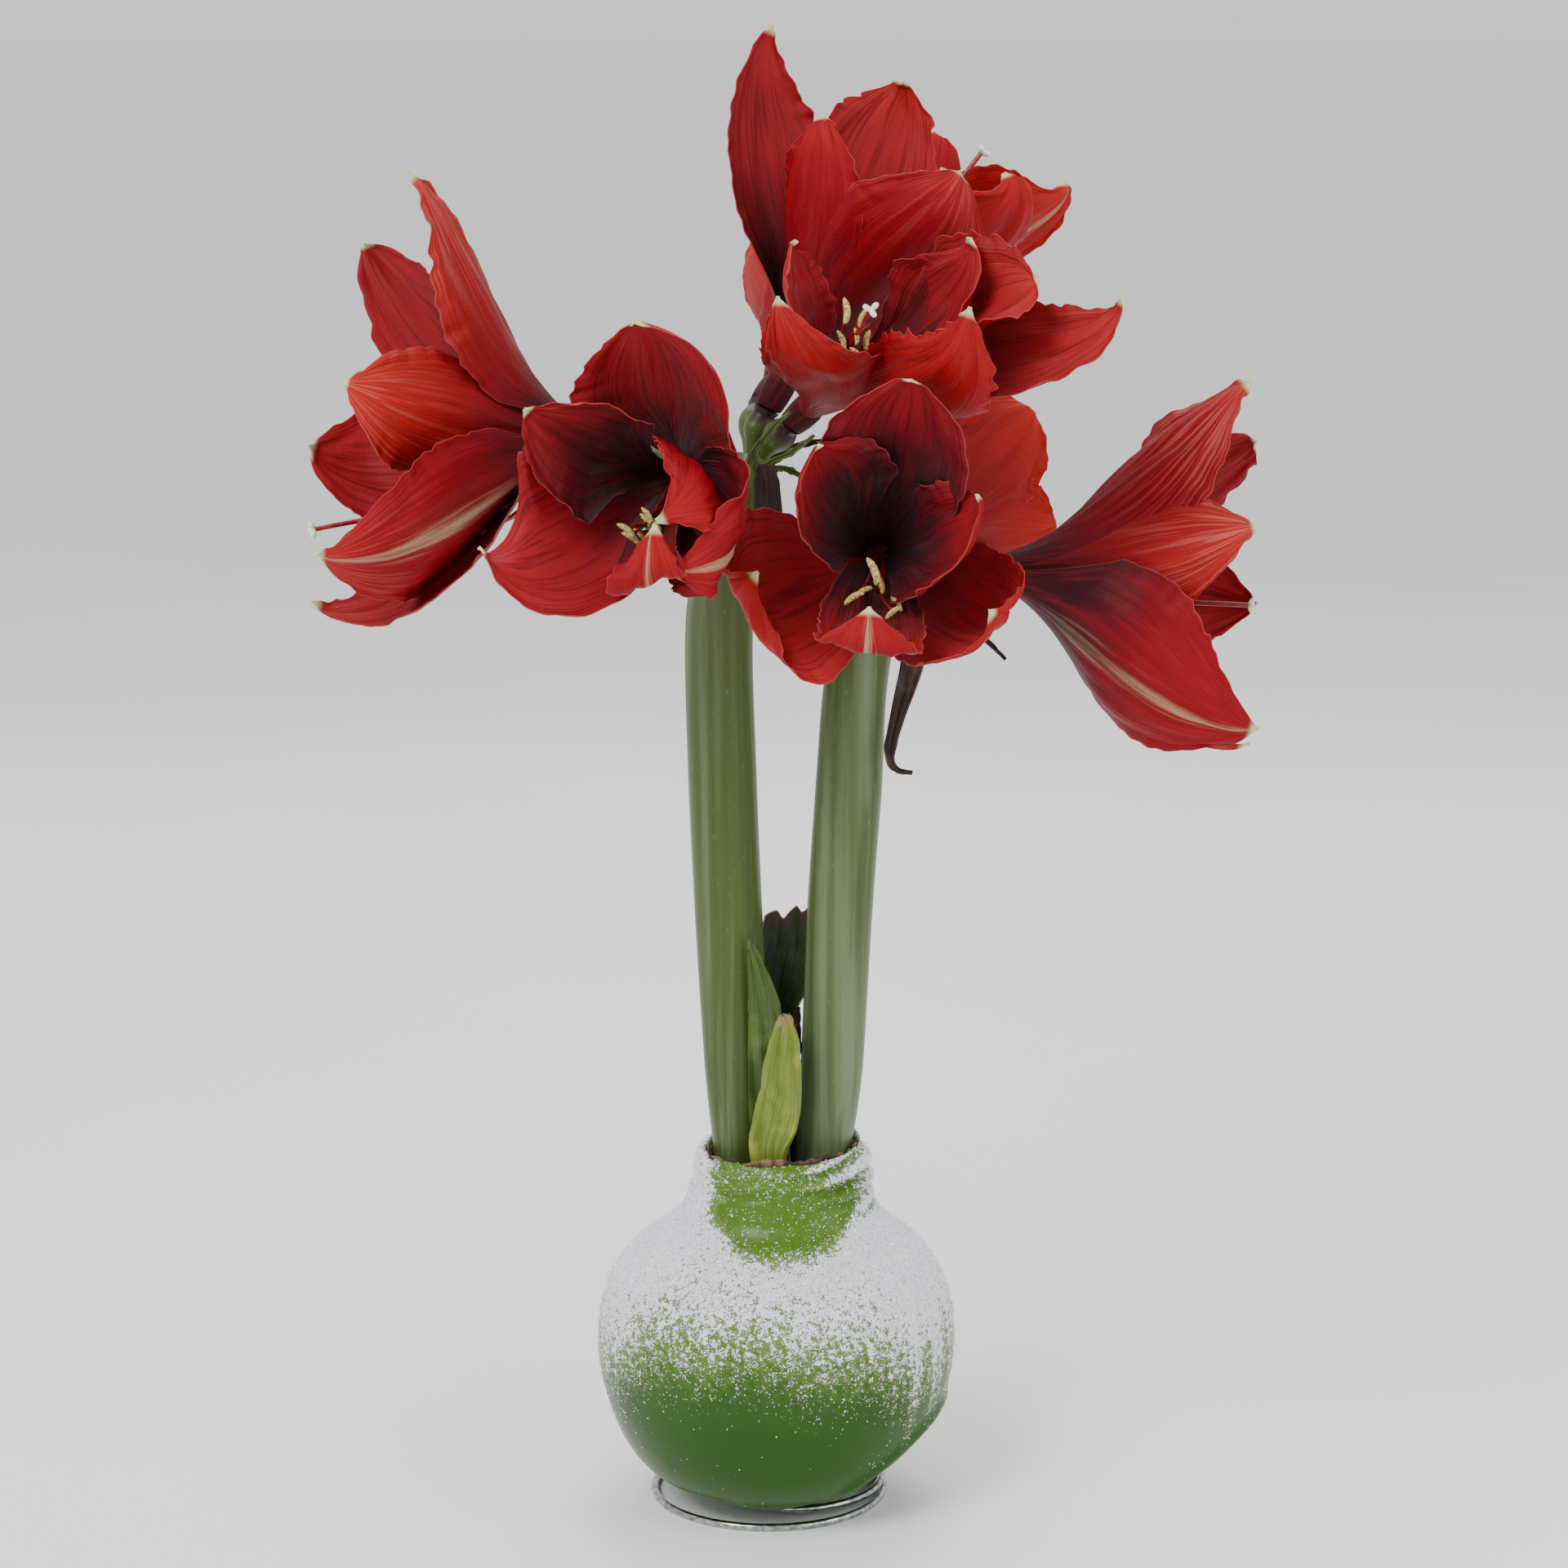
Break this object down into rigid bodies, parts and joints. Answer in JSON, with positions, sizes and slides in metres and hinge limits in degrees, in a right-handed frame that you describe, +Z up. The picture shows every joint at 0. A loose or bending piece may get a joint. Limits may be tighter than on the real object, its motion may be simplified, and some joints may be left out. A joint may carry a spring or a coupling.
{
  "type": "waxed_amaryllis",
  "caption": "Waxed amaryllis in bloom: red flowers on thick green stems from a green waxed bulb dusted with flock, on a wire ring stand.",
  "frame": {"origin": "middle of the footprint of the whole plant, on the ground the wire ring stands on", "axes": "+Z up along the stems, -Y to the viewer of the picture, +X to the viewer's right"},
  "size_m": [0.2936, 0.1935, 0.4583],
  "materials": {
    "wire_steel": "satin",
    "wax_green": "satin",
    "bulb_tunic": "matte",
    "stem_green": "satin",
    "petal_red": "satin",
    "leaf_dark": "satin",
    "leaf_pale": "satin",
    "bract_brown": "matte"
  },
  "bodies": {
    "root": {"wire_stand": "wire_steel", "wax_coat": "wax_green", "bulb": "bulb_tunic", "scape_left": "stem_green", "scape_right": "stem_green", "bloom_left": "petal_red", "bloom_front_left": "petal_red", "bloom_top": "petal_red", "bloom_upper_right": "petal_red", "bloom_front": "petal_red", "bloom_right": "petal_red", "bloom_rear_left": "petal_red", "bloom_rear_right": "petal_red", "leaf_left": "leaf_dark", "leaf_back": "leaf_dark", "leaf_short": "leaf_pale", "leaf_stub": "bract_brown", "spathe_left": "bract_brown", "spathe_right": "bract_brown"}
  },
  "joints": []
}
